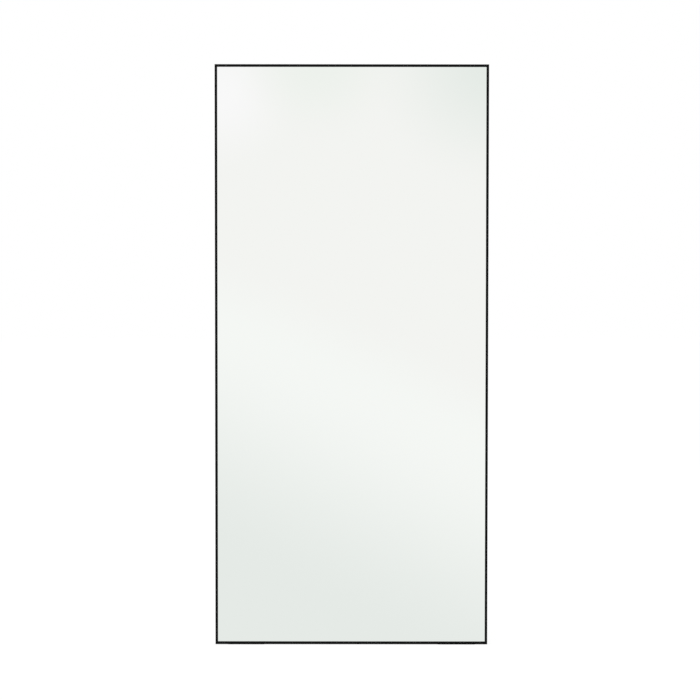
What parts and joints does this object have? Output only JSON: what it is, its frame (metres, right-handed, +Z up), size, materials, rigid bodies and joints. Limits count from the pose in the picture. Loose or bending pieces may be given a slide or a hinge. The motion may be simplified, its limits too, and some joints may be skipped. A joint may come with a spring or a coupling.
{
  "type": "leaning floor mirror",
  "caption": "Tall rectangular floor mirror in a slim black metal frame, made to lean against a wall, with ring hangers and wall bumpers on its back.",
  "frame": {"origin": "on the floor, in the middle of the width and of the whole depth", "axes": "+Z up, the mirror's front faces -Y, +X to the right of someone looking into the mirror"},
  "size_m": [0.8, 0.0326, 1.701],
  "materials": {
    "frame_black": "satin black powder coat on extruded aluminium",
    "mirror_glass": "silvered clear float glass",
    "film": "grey safety film",
    "hardboard": "bare brown hardboard",
    "foam_tape": "black foam",
    "black_rubber": "matte black rubber",
    "spring_steel": "bright spring steel",
    "zinc_steel": "zinc-plated steel",
    "dark_steel": "black oxide steel"
  },
  "bodies": {
    "mirror": {"rail_top": "frame_black", "rail_bottom": "frame_black", "stile_left": "frame_black", "stile_right": "frame_black", "mirror_pane": "mirror_glass", "safety_film": "film", "backing_board": "hardboard", "glazing_tape": "foam_tape", "setting_blocks": "black_rubber", "edge_spacers": "black_rubber", "spring_clips": "spring_steel", "corner_angle_left_bottom": "zinc_steel", "corner_angle_right_bottom": "zinc_steel", "corner_angle_right_top": "zinc_steel", "corner_angle_left_top": "zinc_steel", "corner_shim_left_bottom": "zinc_steel", "corner_shim_right_bottom": "zinc_steel", "corner_shim_right_top": "zinc_steel", "corner_shim_left_top": "zinc_steel", "corner_set_screws": "dark_steel", "hanger_strap_left": "zinc_steel", "hanger_strap_right": "zinc_steel", "hanger_nuts": "zinc_steel", "hanger_screws": "zinc_steel", "wall_bumpers": "black_rubber", "foot_pad_left": "black_rubber", "foot_pad_right": "black_rubber"},
    "hanging_ring_left": {"hanging_ring_left": "zinc_steel"},
    "hanging_ring_right": {"hanging_ring_right": "zinc_steel"}
  },
  "joints": [
    {"name": "hanging_ring_left_swing", "type": "hinge", "parent": "mirror", "child": "hanging_ring_left", "pos_m": [-0.389, 0.01185, 1.371], "axis": [1, 0, 0], "range_deg": [-3, 183]},
    {"name": "hanging_ring_right_swing", "type": "hinge", "parent": "mirror", "child": "hanging_ring_right", "pos_m": [0.389, 0.01185, 1.371], "axis": [1, 0, 0], "range_deg": [-3, 183]}
  ]
}
